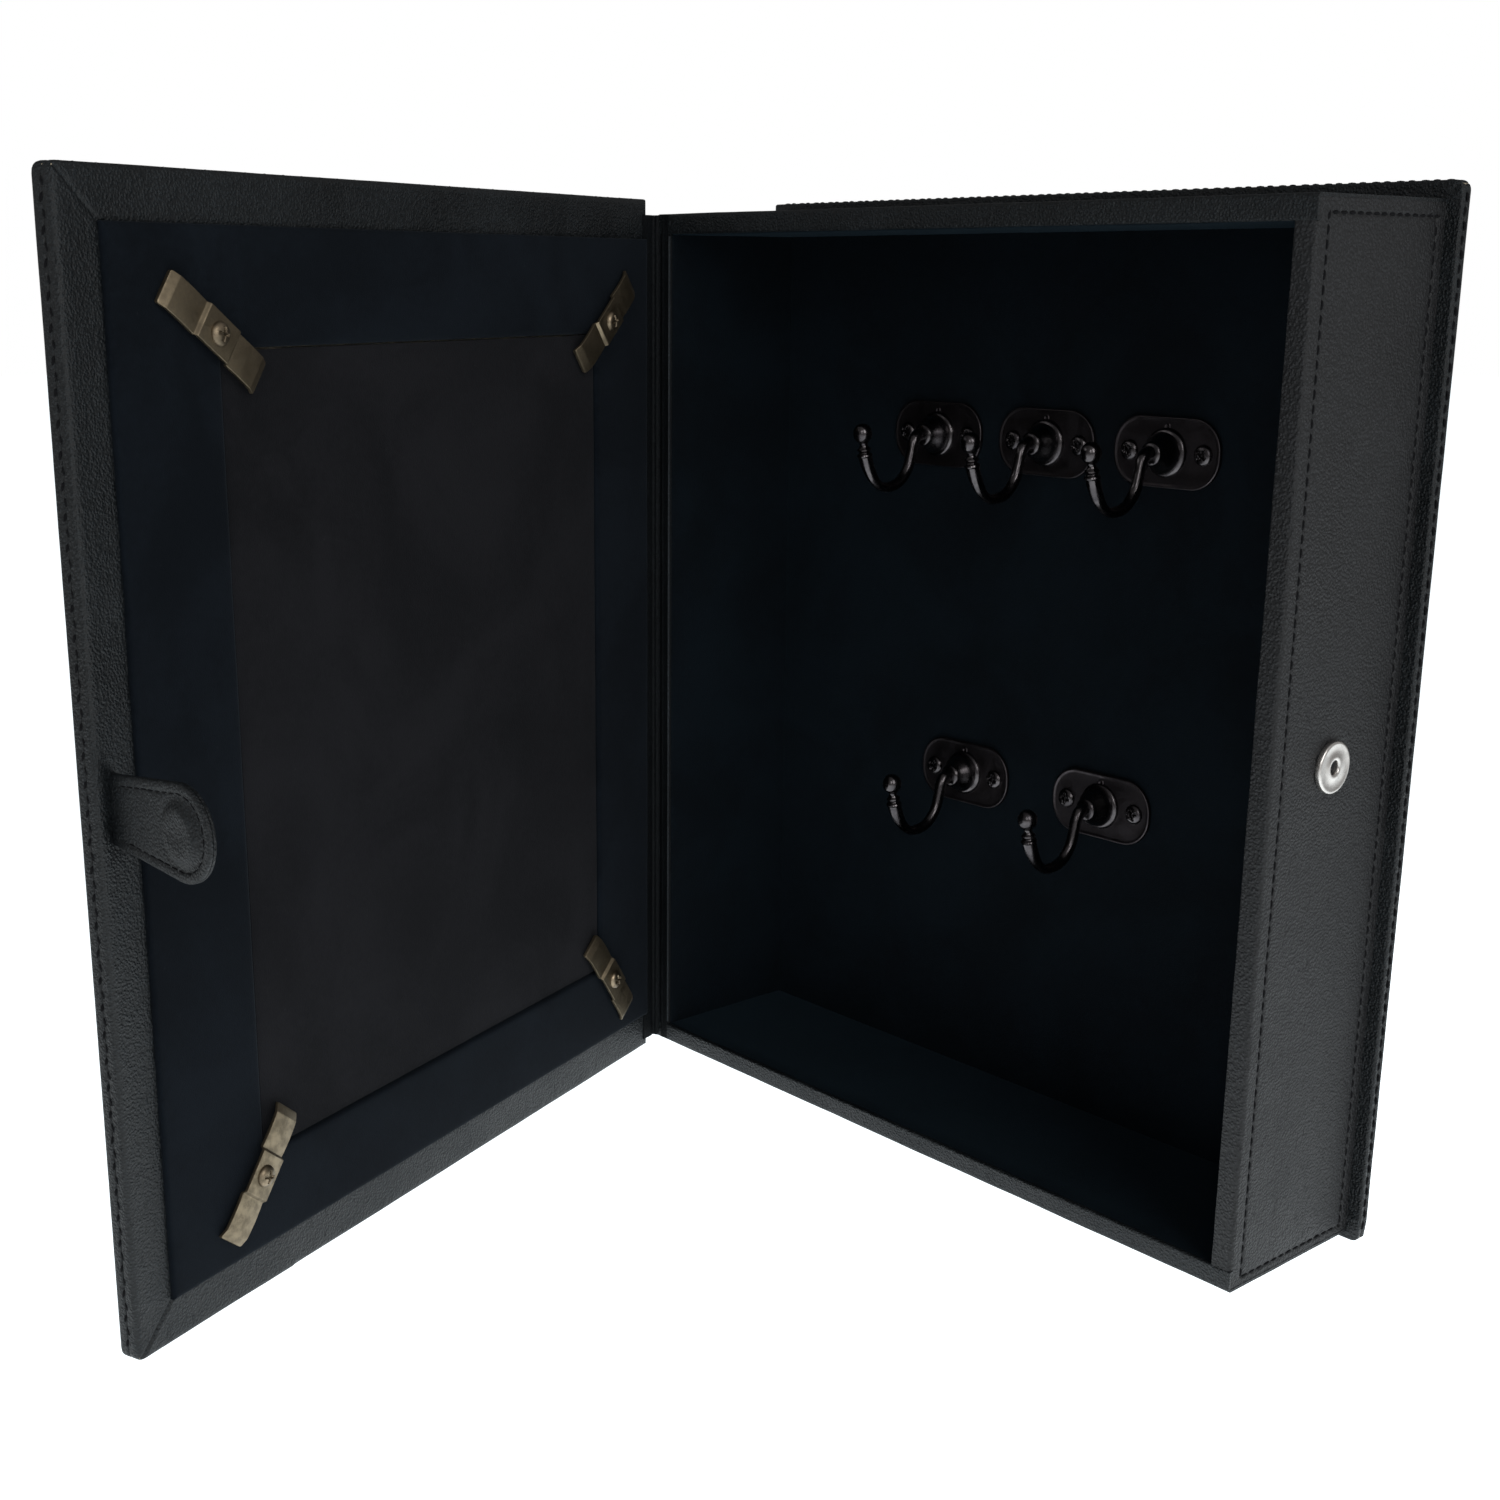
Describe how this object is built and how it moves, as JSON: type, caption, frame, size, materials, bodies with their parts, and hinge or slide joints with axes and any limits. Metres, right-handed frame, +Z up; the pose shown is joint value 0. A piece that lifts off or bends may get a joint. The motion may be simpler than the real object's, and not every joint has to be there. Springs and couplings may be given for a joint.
{
  "type": "jewelry box",
  "caption": "Book-shaped leather jewelry box with a hinged picture-frame cover, a velvet-lined tray with hooks, and a magnetic snap tab.",
  "frame": {"origin": "middle of the back board's bottom edge, where the box stands, in line with the middle of the tray", "axes": "+X along the box towards its fore-edge (the side with the snap), +Y out of the box's back, +Z up"},
  "size_m": [0.3062, 0.3656, 0.3515],
  "materials": {
    "leather": "dark blue-grey grained leather",
    "velvet": "navy velvet",
    "suede": "dark suede",
    "card": "plain board",
    "print": "plain paper print",
    "glass": "clear glass",
    "brass": "aged brass",
    "nickel": "nickel plate",
    "magnet": "sintered magnet",
    "bronze": "black bronze lacquer"
  },
  "bodies": {
    "case": {"back_board": "card", "back_board_leather": "leather", "spine_board": "card", "spine_leather": "leather", "tray_wall_top": "card", "tray_wall_bottom": "card", "tray_wall_left": "card", "tray_wall_right": "card", "tray_floor": "card", "floor_lining": "velvet", "wall_lining": "velvet", "tray_leather_top": "leather", "tray_leather_bottom": "leather", "tray_leather_right": "leather", "inner_hinge_leather": "leather", "snap_socket": "nickel", "snap_magnet": "magnet", "snap_socket_washer": "nickel", "hook_1_plate": "bronze", "hook_1_arm": "bronze", "hook_1_screw_left": "bronze", "hook_1_screw_right": "bronze", "hook_2_plate": "bronze", "hook_2_arm": "bronze", "hook_2_screw_left": "bronze", "hook_2_screw_right": "bronze", "hook_3_plate": "bronze", "hook_3_arm": "bronze", "hook_3_screw_left": "bronze", "hook_3_screw_right": "bronze", "hook_4_plate": "bronze", "hook_4_arm": "bronze", "hook_4_screw_left": "bronze", "hook_4_screw_right": "bronze", "hook_5_plate": "bronze", "hook_5_arm": "bronze", "hook_5_screw_left": "bronze", "hook_5_screw_right": "bronze"},
    "cover": {"cover_frame": "card", "cover_leather": "leather", "glass_pane": "glass", "picture_insert": "print", "backing_board": "card", "backing_suede": "suede", "velvet_frame": "velvet", "button_screw_top_fore": "brass", "button_screw_top_hinge": "brass", "button_screw_bottom_fore": "brass", "button_screw_bottom_hinge": "brass"},
    "turn_button_top_fore": {"turn_button_top_fore": "brass"},
    "turn_button_top_hinge": {"turn_button_top_hinge": "brass"},
    "turn_button_bottom_fore": {"turn_button_bottom_fore": "brass"},
    "turn_button_bottom_hinge": {"turn_button_bottom_hinge": "brass"},
    "tab": {"tab_outer_leather": "leather", "tab_lining_leather": "leather", "tab_snap_stud": "nickel", "tab_snap_washer": "nickel"}
  },
  "joints": [
    {"name": "cover_hinge", "type": "hinge", "parent": "case", "child": "cover", "pos_m": [-0.1475, -0.0745, 0.17575], "axis": [0, 0, -1], "range_deg": [-70, 110]},
    {"name": "tab_fold", "type": "hinge", "parent": "cover", "child": "tab", "pos_m": [-0.04397, -0.35426, 0.1745], "axis": [0, 0, -1], "range_deg": [-14, 76]},
    {"name": "turn_button_top_fore_spin", "type": "hinge", "parent": "cover", "child": "turn_button_top_fore", "pos_m": [-0.06017, -0.30918, 0.306], "axis": [0.9397, 0.342, 0], "continuous": true},
    {"name": "turn_button_top_hinge_spin", "type": "hinge", "parent": "cover", "child": "turn_button_top_hinge", "pos_m": [-0.13309, -0.10884, 0.306], "axis": [0.9397, 0.342, 0], "continuous": true},
    {"name": "turn_button_bottom_fore_spin", "type": "hinge", "parent": "cover", "child": "turn_button_bottom_fore", "pos_m": [-0.06017, -0.30918, 0.042], "axis": [0.9397, 0.342, 0], "continuous": true},
    {"name": "turn_button_bottom_hinge_spin", "type": "hinge", "parent": "cover", "child": "turn_button_bottom_hinge", "pos_m": [-0.13309, -0.10884, 0.042], "axis": [0.9397, 0.342, 0], "continuous": true}
  ]
}
